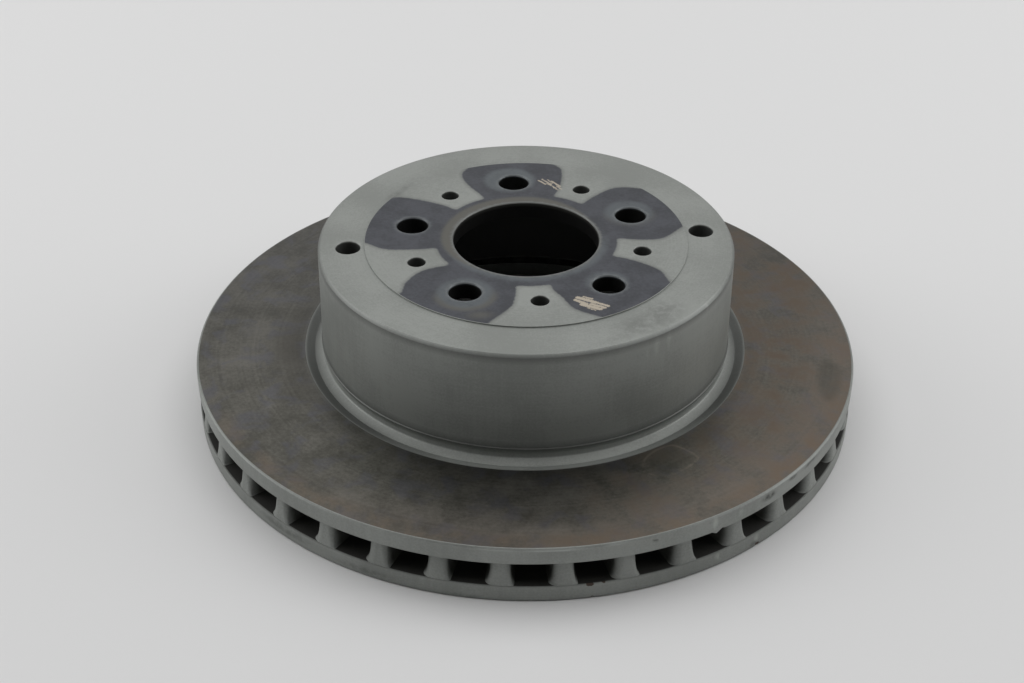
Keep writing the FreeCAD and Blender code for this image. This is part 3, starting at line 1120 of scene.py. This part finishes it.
def sand_cast_iron():
    """Sand-cast iron: rough, near black in the channels, coated where spray reached the noses."""
    material, tree, place = new_material("sand_cast_iron")
    coat, _, _ = coat_look(tree, place)
    # moulding sand leaves a pitted skin with grains about 0.7 mm across, darker in 7 mm patches
    sockets = {"Vector": place, "Scale": per_metre(0.7), "Detail": 4.0, "Roughness": 0.6}
    sand = add(tree, "TexNoise", sockets)["Fac"]
    patch = add(tree, "TexNoise", {"Vector": place, "Scale": per_metre(7), "Detail": 4.0})["Fac"]
    radius = radius_of(tree, place)
    light = add(tree, "MapRange", {0: patch, 1: 0.35, 2: 0.65}, **EASED)[0]
    # the coat's spray reached about 5 mm into the channels
    ragged = weighted(tree, ((patch, 0.002),), radius)
    reached = add(tree, "MapRange", {0: ragged, 1: 0.1500, 2: 0.1546}, **EASED)[0]
    # the floor of each channel is darker, the more so towards the rim's edge, where it stops
    upward = add(tree, "SeparateXYZ", {0: add(tree, "NewGeometry")["Normal"]})[2]
    level = add(tree, "MapRange", {0: upward, 1: 0.85, 2: 0.99}, **EASED)[0]
    within = add(tree, "MapRange", {0: radius, 1: 0.1542, 2: 0.1547, 3: 1.0, 4: 0.0}, **EASED)[0]
    nearer_mouth = add(tree, "MapRange", {0: radius, 1: 0.128, 2: 0.150, 3: 0.2, 4: 1.0}, **EASED)[0]
    darkened = add(tree, "Math", {0: level, 1: within}, **PRODUCT)[0]
    darkened = add(tree, "Math", {0: darkened, 1: nearer_mouth}, **PRODUCT)[0]
    colour = layered(tree, linear("#41423E"), ((light, "#51524D"), (reached, coat), (darkened, "#2A2A27")))
    rough = weighted(tree, ((sand, 0.2),), 0.6)
    height = weighted(tree, ((patch, 0.5), (sand, 1.0)))
    bump = add(tree, "Bump", {"Strength": 0.5, "Distance": 0.00015, "Height": height})[0]
    sockets = {"Base Color": colour, "Roughness": rough, "Metallic": 0.1, "Normal": bump}
    add(tree, "OutputMaterial", {"Surface": add(tree, "BsdfPrincipled", sockets)[0]})
    return material


coating = zinc_flake_coat()
friction = turned_iron()
cast = sand_cast_iron()
pieces = [
    outboard_side(coating, bolt_face(), friction),
    rim_and_channels(coating, cast),
    inboard_side(coating, friction, cast),
]
for piece in pieces:
    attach(piece, "root")
    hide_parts("brake_disc")


def paper():
    """Matte white paper sheet that the disc lies on."""
    material, tree, _ = new_material("white_paper")
    sockets = {"Base Color": linear("#E0E0E0"), "Roughness": 0.9}
    add(tree, "OutputMaterial", {"Surface": add(tree, "BsdfPrincipled", sockets)[0]})
    return material


# The floor runs this far from the disc each way, in metres like the lamps and the camera
FLOOR_REACH = 4

corners = [(x * FLOOR_REACH, y * FLOOR_REACH, 0) for x, y in ((-1, -1), (1, -1), (1, 1), (-1, 1))]
floor_mesh = bpy.data.meshes.new("floor")
floor_mesh.from_pydata(corners, [], [(0, 1, 2, 3)])
floor_mesh.materials.append(paper())
floor = bpy.data.objects.new("floor", floor_mesh)
bpy.context.collection.objects.link(floor)

# The photo's viewpoint, solved from the flange's holes and the edges of the ring
HEADING = math.radians(6.217)
LOOK_DOWN = math.radians(33.814)
ROLL = math.radians(0.390)
VIEWPOINT = (-0.07631, -0.64376, 0.45829)
LENS = 57.19
SENSOR_WIDTH = 36
FAR_LIMIT = 20


def turned_place(x, y, z):
    """A place given as the camera sees it: x to its right, y away from it."""
    c, s = math.cos(-HEADING), math.sin(-HEADING)
    return (x * c - y * s, x * s + y * c, z)


def softbox(name, place, target, size, watts):
    light = bpy.data.lights.new(name, "AREA")
    light.shape = "RECTANGLE"
    light.size, light.size_y = size
    light.energy = watts
    lamp = bpy.data.objects.new(name, light)
    lamp.location = place
    lamp.rotation_euler = (Vector(target) - Vector(place)).to_track_quat("-Z", "Y").to_euler()
    bpy.context.collection.objects.link(lamp)


softbox("overhead", turned_place(0, 0.3, 1.8), (0, 0.08, 0), (3.2, 2.3), 27.7)
softbox("behind", turned_place(0, 1.9, 1.1), (0, 0, 0.1), (2.4, 1.2), 5.5)
softbox("left", turned_place(-1.7, 0.3, 0.8), (0, 0, 0.05), (1.4, 1.2), 12)
softbox("right", turned_place(1.7, 0.3, 0.8), (0, 0, 0.05), (1.4, 1.2), 12)

world = bpy.data.worlds.new("room")
world.use_nodes = True
background = world.node_tree.nodes["Background"]
background.inputs["Color"].default_value = linear("#FFFFFF")
background.inputs["Strength"].default_value = 0.12
bpy.context.scene.world = world

camera_data = bpy.data.cameras.new("camera")
camera_data.lens = LENS
camera_data.sensor_width = SENSOR_WIDTH
camera_data.clip_end = FAR_LIMIT
camera = bpy.data.objects.new("camera", camera_data)
level = math.cos(LOOK_DOWN)
ahead = Vector((math.sin(HEADING) * level, math.cos(HEADING) * level, -math.sin(LOOK_DOWN)))
level_right = Vector((math.cos(HEADING), -math.sin(HEADING), 0))
level_up = level_right.cross(ahead)
right = level_right * math.cos(ROLL) + level_up * math.sin(ROLL)
up = level_up * math.cos(ROLL) - level_right * math.sin(ROLL)
turn = Matrix((right, up, -ahead)).transposed().to_4x4()
camera.matrix_world = Matrix.Translation(VIEWPOINT) @ turn
bpy.context.collection.objects.link(camera)
bpy.context.scene.camera = camera

bpy.context.scene.view_settings.view_transform = "Standard"
